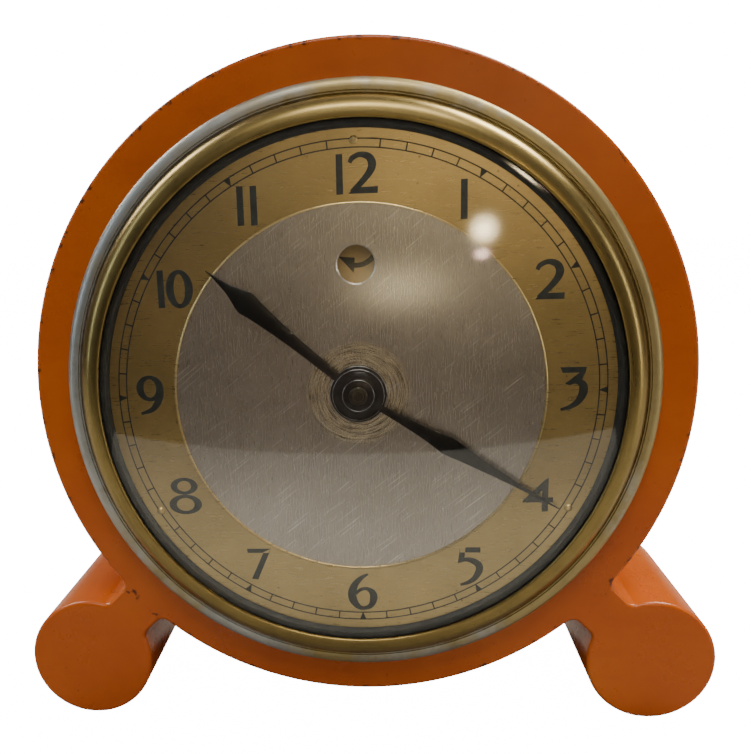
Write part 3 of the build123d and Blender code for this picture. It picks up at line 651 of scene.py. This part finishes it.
# ---------------------------------------------------------------- dial
def build_dial():
    bm = bmesh.new()
    segments = 180
    outer = circle(DIAL_R, segments, DIAL_FRONT, bm)
    centre_hole = circle(3.6, 48, DIAL_FRONT, bm)
    window = circle(WINDOW_R + 0.24, 64, DIAL_FRONT, bm, INDICATOR)
    verts = outer + centre_hole + window
    front = tessellate_polygon([[v.co for v in loop] for loop in (outer, centre_hole, window)])
    for tri in front:
        bm.faces.new([verts[k] for k in tri])
    lip = circle(WINDOW_R, 64, DIAL_FRONT - 0.2, bm, INDICATOR)
    sill = circle(WINDOW_R, 64, DIAL_FRONT - 0.7, bm, INDICATOR)
    copy = {v: bm.verts.new(v.co + Vector((0, 0.0007, 0))) for v in outer + centre_hole}
    copy.update(zip(window, sill))
    for tri in front:
        bm.faces.new([copy[verts[k]] for k in reversed(tri)])
    add_band(bm, window, lip)
    add_band(bm, lip, sill)
    for loop in (outer, centre_hole):
        add_band(bm, loop, [copy[v] for v in loop])
    finish_mesh("dial_centre", bm, MATERIALS["dial_silver"], "case", ("dial_plate",), 30.0)
    ring = [(35.75, CHAPTER_FRONT), (51.6, CHAPTER_FRONT), (51.6, DIAL_FRONT), (35.75, DIAL_FRONT)]
    turned("chapter_band", ring, MATERIALS["dial_gilt"], "case", ("chapter_ring",), 192)
    # the bead wears the brighter gilt copy as a painted highlight along the ring's inner edge
    bead = [(35.4, DIAL_FRONT), (35.4, 3.85), (35.47, 3.98), (35.57, 4.03), (35.67, 3.98), (35.74, 3.88),
            (35.74, DIAL_FRONT)]
    turned("chapter_edge", bead, HIGHLIGHT_GILT, "case", (), 192)


GLYPHS = {
    "1": {"bars": [[(-0.62, -3.55), (0.62, -3.5), (0.6, 3.55), (-0.6, 3.5)]]},
    "2": {"strokes": [[(-2.2, 1.95, 0.7), (-1.75, 2.75, 0.9), (-0.35, 3.35, 0.95), (1.2, 2.95, 1.3),
                       (1.85, 1.75, 1.5), (1.45, 0.4, 1.3), (0.1, -1.25, 1.1), (-1.9, -3.15, 0.95)]],
          "bars": [[(-2.55, -3.45), (2.8, -3.45), (2.85, -2.25), (-1.5, -2.35)]]},
    "3": {"bars": [[(-3.0, 4.4), (-2.5, 3.3), (1.0, 3.35), (1.9, 4.4)],
                   [(1.9, 4.4), (0.6, 3.35), (-2.0, 1.25), (-1.2, 0.95), (0.9, 1.6), (1.7, 3.4)]],
          "strokes": [[(-1.8, 1.3, 0.4), (-0.6, 1.65, 0.8), (0.5, 1.6, 1.15), (1.25, 1.0, 1.5),
                       (1.42, 0.0, 1.66), (1.1, -1.2, 1.5), (0.2, -2.45, 1.15), (-1.2, -3.3, 0.85),
                       (-2.7, -3.7, 0.5)]]},
    "4": {"bars": [[(-0.2, -3.55), (0.98, -3.5), (0.98, 3.3), (-0.2, 2.4)],
                   [(0.98, 3.3), (0.35, 2.95), (-3.9, -1.3), (-3.9, -1.65), (-2.6, -1.65), (0.5, 1.45)],
                   [(-3.9, -1.65), (1.9, -1.65), (1.9, -0.65), (-3.2, -0.65)]]},
    "5": {"bars": [[(-0.95, 4.05), (3.05, 4.05), (3.05, 2.95), (-0.95, 3.0)],
                   [(-0.95, 4.05), (0.1, 4.05), (-0.1, 1.35), (-1.4, 0.65)]],
          "strokes": [[(-1.1, 1.05, 0.6), (0.2, 1.5, 0.85), (1.6, 1.2, 1.2), (2.75, 0.3, 1.4),
                       (2.8, -0.95, 1.4), (1.9, -2.5, 1.1), (0.6, -3.4, 0.8), (-0.85, -3.85, 0.5)]]},
    "6": {"strokes": [[(1.15, 3.9, 0.4), (-0.2, 3.1, 0.9), (-1.45, 1.75, 1.35), (-2.1, 0.0, 1.7),
                       (-1.9, -1.7, 1.6), (-0.9, -3.1, 1.1), (0.3, -3.45, 0.8), (1.6, -2.9, 1.1),
                       (2.2, -1.4, 1.5), (2.0, -0.1, 1.35), (0.9, 0.75, 0.75), (-0.4, 0.55, 0.7),
                       (-1.4, -0.3, 0.6)]]},
    "7": {"bars": [[(-2.75, 3.75), (2.15, 3.75), (1.6, 2.85), (-2.65, 2.85)],
                   [(2.15, 3.75), (-0.75, -2.9), (-2.0, -2.7), (0.6, 3.0)]]},
    "8": {"loops": [(0.22, 2.2, 2.72, 1.75, 1.38, 1.1), (0.3, -1.6, 3.3, 2.05, 1.8, 1.35)]},
    "9": {"loops": [(0.1, 1.6, 2.66, 2.55, 1.23, 1.82)],
          "strokes": [[(2.08, 1.7, 1.3), (2.0, 0.2, 1.4), (1.3, -1.5, 1.3), (0.1, -2.7, 0.95),
                       (-1.95, -3.4, 0.5)]]},
    "0": {"loops": [(0.0, 0.0, 2.6, 3.6, 1.08, 2.8)]},
}
NUMERALS = {
    1: [("1", -0.6, 0.1)], 2: [("2", 0.0, 0.15)], 3: [("3", 0.0, 0.0)], 4: [("4", 0.0, 0.0)],
    5: [("5", 0.0, 0.0)], 6: [("6", 0.0, 0.0)], 7: [("7", 0.0, 0.2)], 8: [("8", 0.0, 0.1)],
    9: [("9", 0.15, 0.2)], 10: [("1", -1.65, 0.4), ("0", 1.9, 0.35)],
    11: [("1", -0.65, 0.2), ("1", 1.85, 0.2)], 12: [("1", -2.65, -0.3), ("2", 1.45, -0.3)],
}
NUMERAL_R = 40.8


def ribbon(stations):
    """Quads along a pen stroke of points (x, y, width)."""
    path = smooth_path(stations, 6)
    sides = []
    for i, (x, y, w) in enumerate(path):
        ahead = path[min(i + 1, len(path) - 1)]
        behind = path[max(i - 1, 0)]
        way = Vector((ahead[0] - behind[0], ahead[1] - behind[1])).normalized()
        sides.append(((x - way.y * w / 2, y + way.x * w / 2), (x + way.y * w / 2, y - way.x * w / 2)))
    return [[a[0], a[1], b[1], b[0]] for a, b in zip(sides, sides[1:])]


def loop_quads(cx, cy, rx, ry, hx, hy, count=44):
    def rim(a, b):
        angles = [TURN * i / count for i in range(count)]
        return [(cx + a * math.cos(t), cy + b * math.sin(t)) for t in angles]

    outer, inner = rim(rx, ry), rim(hx, hy)
    return [[outer[i], outer[(i + 1) % count], inner[(i + 1) % count], inner[i]] for i in range(count)]


def glyph_shapes(key):
    parts = GLYPHS[key]
    shapes = [list(bar) for bar in parts.get("bars", ())]
    for stroke in parts.get("strokes", ()):
        shapes += ribbon(stroke)
    for loop in parts.get("loops", ()):
        shapes += loop_quads(*loop)
    return shapes


def add_print(bm, shapes, z, thick):
    """Joins flat shapes into one outline and gives it the thickness of a print."""
    verts, faces = [], []
    for shape in shapes:
        faces.append(list(range(len(verts), len(verts) + len(shape))))
        verts += [Vector(p) for p in shape]
    points, _, triangles, _, _, sources = delaunay_2d_cdt(verts, [], faces, 1, 1e-5)
    triangles = [tri for tri, source in zip(triangles, sources) if source]
    low = [bm.verts.new(at(p.x, p.y, z)) for p in points]
    high = [bm.verts.new(at(p.x, p.y, z + thick)) for p in points]
    edges = {}
    for tri in triangles:
        bm.faces.new([high[i] for i in tri])
        bm.faces.new([low[i] for i in reversed(tri)])
        for a, b in zip(tri, tri[1:] + tri[:1]):
            edges[(a, b)] = True
    for a, b in edges:
        if (b, a) not in edges:
            bm.faces.new((low[a], low[b], high[b], high[a]))
    for v in low + high:
        if not v.link_faces:
            bm.verts.remove(v)


def build_numerals():
    bm = bmesh.new()
    for hour, digits in NUMERALS.items():
        a = math.radians(30 * hour)
        cx, cy = NUMERAL_R * math.sin(a), NUMERAL_R * math.cos(a)
        shapes = []
        for key, dx, dy in digits:
            for shape in glyph_shapes(key):
                shapes.append([(x + dx + cx, y + dy + cy) for x, y in shape])
        add_print(bm, shapes, CHAPTER_FRONT, INK_THICK)
    finish_mesh("numerals", bm, INK, "case", (), 30.0)


def build_track():
    """Railway minute track with a triangle at each hour that has no rivet."""
    bm = bmesh.new()
    inner, outer, width = 45.15, 46.65, 0.24
    for r in (inner, outer):
        low, high = CHAPTER_FRONT, CHAPTER_FRONT + INK_THICK
        left, right = r - width / 2, r + width / 2
        add_lathe(bm, [(left, low), (left, high), (right, high), (right, low)], 240)
    for minute in range(60):
        a = math.radians(6 * minute)
        if minute % 5 == 0 and minute not in (0, 20, 40):
            half = 0.7
            near, far = inner - width / 2, outer + width / 2
            shape = [(-half, far), (0.0, near), (half, far)]
        elif minute % 5:
            half = 0.13
            shape = [(-half, inner), (half, inner), (half, outer), (-half, outer)]
        else:
            continue
        c, s = math.cos(a), math.sin(a)
        add_print(bm, [[(x * c + y * s, y * c - x * s) for x, y in shape]], CHAPTER_FRONT, INK_THICK)
    finish_mesh("minute_track", bm, INK, "case", (), 30.0)


def build_rivets():
    bm = bmesh.new()
    profile = [(0.0, 4.42), (0.3, 4.39), (0.55, 4.28), (0.72, 4.12), (0.78, 4.0), (0.45, 4.0), (0.45, 2.1),
               (0.8, 2.1), (0.8, 1.7), (0.0, 1.7)]
    for clock in (0, 120, 240):
        a = math.radians(clock)
        add_lathe(bm, profile, 32, (RIVET_R * math.sin(a), RIVET_R * math.cos(a)), closed=False)
    finish_mesh("dial_rivet_heads", bm, MATERIALS["brass"], "case", ("dial_rivets",), 50.0)


def build_indicator():
    """Cream disc on the rotor, its cream darkened all over as painted shade of the window's recess, printed
    with a curved arrow that shows it turning.
    """
    x0, y0 = INDICATOR
    disc = [(0.0, DISC_FRONT), (5.9, DISC_FRONT), (6.0, DISC_FRONT - 0.1), (6.0, 1.0), (1.6, 1.0),
            (1.6, -0.6), (0.81, -0.6), (0.81, 1.0), (0.0, 1.0)]
    bm = bmesh.new()
    add_lathe(bm, disc, 96, INDICATOR, closed=False)
    finish_mesh("indicator_face", bm, MATERIALS["indicator"], "rotor",
                ("indicator_disc",), 40.0)
    bm = bmesh.new()
    sides = []
    lift, bow, steps = 3.8, 4.1, 18
    for i in range(steps + 1):
        a = math.radians(-34.0 - 63.0 * i / steps)
        w = 1.05 - 0.15 * i / steps
        sides.append([(r * math.cos(a), lift + r * math.sin(a)) for r in (bow + w / 2, bow - w / 2)])
    shapes = [[a[0], b[0], b[1], a[1]] for a, b in zip(sides, sides[1:])]
    tail = math.radians(-95.0)
    tip = math.radians(-145.0)
    barb = 1.4
    corners = ((bow + barb, tail), (bow, tip), (bow - barb, tail))
    shapes.append([(r * math.cos(a), lift + r * math.sin(a)) for r, a in corners])
    add_print(bm, [[(x + x0, y + y0) for x, y in shape] for shape in shapes], DISC_FRONT, INK_THICK)
    finish_mesh("indicator_arrows", bm, MATERIALS["black_paint"], "rotor", (), 30.0)


# ---------------------------------------------------------------- hands
def build_hand(name, stations, clock, z0, z1, body, node, boss):
    """Pressed hand: a tapered blade with a rolled edge and a ridge, on a turned boss."""
    path = smooth_path(stations, 5)
    bm = bmesh.new()
    a = math.radians(clock)

    def place(w, d, z):
        return bm.verts.new(at(w * math.cos(a) + d * math.sin(a), -w * math.sin(a) + d * math.cos(a), z))

    rows = []
    for d, w in path:
        top = z1 - 0.12
        rim = min(0.24, w * 0.5)
        half = [(w, z0), (w, top), (w - rim * 0.35, z1 - 0.05), (w - rim, z1 - 0.01)]
        left = [place(-x, d, z) for x, z in half]
        ridge = place(0, d, z1)
        rows.append(left + [ridge] + [place(x, d, z) for x, z in half[::-1]])
    for p, q in zip(rows, rows[1:]):
        add_band(bm, p, q)
    bm.faces.new(rows[0])
    bm.faces.new(list(reversed(rows[-1])))
    bmesh.ops.recalc_face_normals(bm, faces=bm.faces)
    add_lathe(bm, boss, 96)
    finish_mesh(name, bm, MATERIALS["black_paint"], body, (node,), 28.0)


def build_hands():
    hour = [(3.6, 0.88), (10.0, 0.98), (15.0, 1.1), (20.0, 1.42), (25.0, 1.9), (26.6, 2.15), (27.4, 2.24),
            (28.2, 2.05), (30.0, 1.36), (32.0, 0.75), (35.0, 0.25), (37.0, 0.1)]
    minute = [(3.6, 0.62), (10.0, 0.85), (15.0, 1.18), (18.6, 1.66), (19.8, 1.8), (21.2, 1.68), (25.0, 1.27),
              (30.0, 0.85), (35.0, 0.5), (40.0, 0.29), (44.8, 0.1)]
    hour_boss = rounded([(2.32, 4.2), (5.5, 4.2), (5.5, 4.55), (5.25, 4.62), (5.15, 4.85),
                         (2.32, 4.85)], 0.1)
    build_hand("hour_pointer", hour, HOUR_ANGLE, 4.4, 4.75, "hour", "hour_hand", hour_boss)
    minute_boss = [(1.62, 6.3), (1.62, 5.1), (4.85, 5.1), (4.95, 5.2), (4.95, 5.42), (4.86, 5.5),
                   (4.7, 5.5)] + smooth_path([(4.6, 5.42), (4.45, 5.6), (3.7, 5.98), (3.1, 6.1)], 5) + [
                       (3.05, 6.02), (2.95, 6.02), (2.88, 6.14), (2.2, 6.27)]
    build_hand("minute_pointer", minute, MINUTE_ANGLE, 5.3, 5.65, "minute", "minute_hand", minute_boss)
    bm = bmesh.new()
    add_lathe(bm, [(1.02, 6.32), (1.75, 6.32), (1.75, 6.6), (1.66, 6.74), (1.4, 6.86), (1.02, 6.9)], 64)
    finish_mesh("centre_nut", bm, WORN_BLACK, "minute", ("hand_nut",), 40.0)
    bare_edges = (("hour_boss_edge", "hour", 5.44, 4.62), ("minute_boss_edge", "minute", 4.90, 5.44),
                  ("minute_dome_edge", "minute", 3.00, 6.06))
    for name, body, radius, z in bare_edges:
        turned(name, arc_points((radius, z), 0.05, 0, 324, 9), MATERIALS["steel"], body, (), 96)


# ---------------------------------------------------------------- back
def build_back():
    """Flat cover with its holes and two fans of five slots."""
    bm = bmesh.new()
    segments = 180
    holes = [(INDICATOR, 3.0, 40), (SETTER, 2.5, 40), (CORD_ENTRY, 4.5, 48),
             ((-47.0, 0.0), 1.7, 24), ((47.0, 0.0), 1.7, 24)]
    loops = [ring_points((0.0, 0.0), COVER_R, segments)]
    loops += [ring_points(centre, radius, count) for centre, radius, count in holes]
    half_turn = [math.pi * k / 8 for k in range(9)]
    for side in (-1, 1):
        for i in range(5):
            x = side * (20 + 4.5 * i)
            low, high = 26 - 2.2 * i, 38 - 3.4 * i
            top = [(x + math.cos(t), high - 1 + math.sin(t)) for t in half_turn]
            foot = [(x - math.cos(t), low + 1 - math.sin(t)) for t in half_turn]
            loops.append(top + foot)
    flat = [[Vector((x, y, 0)) for x, y in loop] for loop in loops]
    back = [[bm.verts.new(at(x, y, COVER_BACK)) for x, y in loop] for loop in loops]
    front = [[bm.verts.new(at(x, y, COVER_FRONT)) for x, y in loop] for loop in loops]
    verts_back = [v for loop in back for v in loop]
    verts_front = [v for loop in front for v in loop]
    for tri in tessellate_polygon(flat):
        bm.faces.new([verts_back[k] for k in tri])
        bm.faces.new([verts_front[k] for k in reversed(tri)])
    for a, b in zip(back, front):
        add_band(bm, a, b)
    finish_mesh("rear_cover", bm, MATERIALS["black_plastic"], "case",
                ("back_cover",), 30.0)


def build_knob(name, centre, z0, z1, body, node):
    """Fluted knob with a rounded rim and a dished end."""
    bm = bmesh.new()
    flutes, per = 24, 8
    count = flutes * per
    rows = []
    levels = ((0.99, z1, 0.3), (1.0, z1 - 0.35, 1.0), (1.0, z0 + 0.9, 1.0), (0.965, z0 + 0.35, 0.9),
              (0.90, z0 + 0.06, 0.5), (0.82, z0, 0.0), (0.70, z0 + 0.12, 0.0), (0.4, z0 + 0.35, 0.0))
    for r_scale, z, depth in levels:
        row = []
        for i in range(count):
            a = TURN * i / count
            dip = max(0.0, math.cos(flutes * a)) ** 2 * 0.38 * depth
            r = KNOB_R * r_scale - dip
            row.append(bm.verts.new(at(centre[0] + r * math.cos(a), centre[1] + r * math.sin(a), z)))
        rows.append(row)
    for a, b in zip(rows, rows[1:]):
        add_band(bm, a, b)
    bm.faces.new(rows[0])
    bm.faces.new(list(reversed(rows[-1])))
    finish_mesh(name, bm, MATERIALS["black_plastic"], body, (node,), 35.0)


def build_fittings():
    cord = rounded([(3.2, -42.3), (5.2, -42.3), (6.0, -41.6), (6.0, COVER_BACK), (4.5, COVER_BACK),
                    (4.5, COVER_FRONT), (5.6, COVER_FRONT), (5.3, -37.3), (3.2, -37.3)], 0.3)
    turned("cord_grommet", cord, MATERIALS["rubber"], "case", ("cord_bush",), 64, CORD_ENTRY)
    start = rounded([(1.85, -41.3), (4.0, -41.3), (4.0, COVER_BACK), (3.0, COVER_BACK), (3.0, -38.0),
                     (1.85, -38.0)], 0.15)
    turned("starter_collar", start, MATERIALS["brass"], "case", ("starter_bush",), 64, INDICATOR)
    collar = rounded([(1.55, -41.3), (3.8, -41.3), (3.8, COVER_BACK), (2.5, COVER_BACK), (2.5, -37.0),
                      (1.55, -37.0)], 0.15)
    turned("setting_collar", collar, MATERIALS["brass"], "case", ("setting_bush",), 64, SETTER)
    build_knob("starter_button", INDICATOR, KNOB_END, -46.0, "starter", "starter_knob")
    build_knob("setting_button", SETTER, KNOB_END, -42.6, "setter", "setting_knob")


def build_starter_spring():
    """Coil that pushes the starter out; it is one fixed coil carried with the starter slider."""
    coil_r, wire, low, rise, turns, per, sides = 2.55, 0.2, -45.3, 3.6, 3, 32, 10
    bm = bmesh.new()
    rows = []
    steps = turns * per
    for i in range(steps + 1):
        a = TURN * i / per
        z = low + wire + rise * i / steps
        row = []
        for k in range(sides):
            b = TURN * k / sides
            r = coil_r + wire * math.cos(b)
            row.append(bm.verts.new(at(INDICATOR[0] + r * math.cos(a), INDICATOR[1] + r * math.sin(a),
                                       z + wire * math.sin(b))))
        rows.append(row)
    for p, q in zip(rows, rows[1:]):
        add_band(bm, p, q)
    bm.faces.new(rows[0])
    bm.faces.new(list(reversed(rows[-1])))
    coil = finish_mesh("starter_coil", bm, MATERIALS["spring_steel"], "starter_slider",
                       ("starter_spring",), 50.0)
    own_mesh(coil)


build_case()
build_starter_spring()
build_bezel()
build_glass()
build_dial()
build_numerals()
build_track()
build_rivets()
build_indicator()
build_hands()
build_back()
build_fittings()

# ---------------------------------------------------------------- camera, floor and light
PITCH, YAW, ROLL = math.radians(13.84), math.radians(-4.71), math.radians(-1.91)
ahead = Vector((math.sin(YAW) * math.cos(PITCH), math.cos(YAW) * math.cos(PITCH), -math.sin(PITCH)))
level = Vector((math.cos(YAW), -math.sin(YAW), 0))
upright = level.cross(ahead)
right = level * math.cos(ROLL) + upright * math.sin(ROLL)
above = upright * math.cos(ROLL) - level * math.sin(ROLL)
lens = bpy.data.cameras.new("camera")
lens.sensor_width = 36.0
lens.lens = 43.31
lens.shift_x = 0.0818
lens.shift_y = 0.0823
lens.clip_start = 0.005
camera = bpy.data.objects.new("camera", lens)
bpy.context.scene.collection.objects.link(camera)
turn = Matrix((right, above, -ahead)).transposed().to_4x4()
camera.matrix_world = Matrix.Translation(Vector((5.21, FACE_Y - 175.71, CENTRE_Z + 33.52)) * 0.001) @ turn
bpy.context.scene.camera = camera

floor_mesh = bpy.data.meshes.new("floor")
floor_mesh.from_pydata([(-3, -0.2, 0), (3, -0.2, 0), (3, 3, 0), (-3, 3, 0)], [], [(0, 1, 2, 3)])
floor = bpy.data.objects.new("floor", floor_mesh)
bpy.context.scene.collection.objects.link(floor)
floor_mat = moulded("pale_floor", (0.34, 0.33, 0.31), 0.6, 1.04, 0.2, 9.0)
floor_nodes = Nodes(floor_mat)
glow = floor_nodes.add("ShaderNodeLightPath")
floor_nodes.shader.inputs["Emission Color"].default_value = (1.0, 1.0, 1.0, 1.0)
floor_nodes.link(floor_nodes.math("MULTIPLY", glow.outputs["Is Camera Ray"], 16.0),
                 floor_nodes.shader.inputs["Emission Strength"])
floor_mesh.materials.append(floor_mat)


def lamp(name, where, target, size, power, colour):
    data = bpy.data.lights.new(name, "AREA")
    data.shape = "RECTANGLE"
    data.size, data.size_y = size
    data.energy = power
    data.color = colour
    obj = bpy.data.objects.new(name, data)
    bpy.context.scene.collection.objects.link(obj)
    obj.location = where
    obj.rotation_euler = (Vector(target) - Vector(where)).to_track_quat("-Z", "Y").to_euler()
    return obj


MIDDLE = (0.0, 0.0, 0.07)
lamp("front_overhead", (0.05, -0.55, 1.0), MIDDLE, (0.6, 0.4), 5.6, (1.0, 0.95, 0.88))
lamp("right_overhead", (0.40, 0.20, 0.72), MIDDLE, (0.35, 0.30), 9.0, (1.0, 0.95, 0.80))
lamp("left_overhead", (-0.50, 0.30, 0.55), MIDDLE, (0.30, 0.30), 4.6, (1.0, 0.97, 0.88))
lamp("left_window", (-0.6, -0.25, 0.28), MIDDLE, (0.05, 0.45), 0.65, (0.72, 0.88, 1.0))
lamp("right_window", (0.6, -0.22, 0.16), MIDDLE, (0.05, 0.40), 0.60, (1.0, 0.95, 0.85))

world = bpy.data.worlds.new("studio")
bpy.context.scene.world = world
world.use_nodes = True
sky = Nodes(world)
background = sky.tree.nodes["Background"]
split = sky.add("ShaderNodeSeparateXYZ")
sky.link(sky.add("ShaderNodeTexCoord").outputs["Generated"], split.inputs[0])
side, height = split.outputs["X"], split.outputs["Z"]
shade = sky.ramp(sky.math("ADD", sky.math("MULTIPLY", height, 0.5), 0.5), (0.0, (0.012, 0.010, 0.008)),
                 (0.42, (0.022, 0.017, 0.012)), (0.50, (0.032, 0.026, 0.020)), (0.62, (0.09, 0.083, 0.076)),
                 (1.0, (0.34, 0.33, 0.31)))
facing = sky.math("MULTIPLY", split.outputs["Y"], -1.0, clamp=True)


def soft_patch(x, z, wide, tall):
    """Bell of light on the room's far wall, centred on a direction."""
    across = sky.math("MULTIPLY", sky.math("SUBTRACT", side, x), 1 / wide)
    up = sky.math("MULTIPLY", sky.math("SUBTRACT", height, z), 1 / tall)
    spread = sky.math("ADD", sky.math("MULTIPLY", across, across), sky.math("MULTIPLY", up, up))
    return sky.math("MULTIPLY", sky.math("POWER", 2.718, sky.math("MULTIPLY", spread, -1.0)), facing)


shade = sky.mix(soft_patch(-0.06, -0.14, 0.26, 0.13), shade, (0.19, 0.135, 0.100))
shade = sky.mix(soft_patch(0.09, 0.10, 0.12, 0.060), shade, (4.6, 3.7, 2.1))
shade = sky.mix(soft_patch(0.300, 0.235, 0.024, 0.024), shade, (70.0, 56.0, 34.0))
shade = sky.mix(soft_patch(0.296, 0.175, 0.016, 0.012), shade, (30.0, 20.0, 16.0))
path = sky.add("ShaderNodeLightPath")
sky.link(sky.mix(path.outputs["Is Camera Ray"], shade, (20.0, 20.0, 20.0)), background.inputs[0])
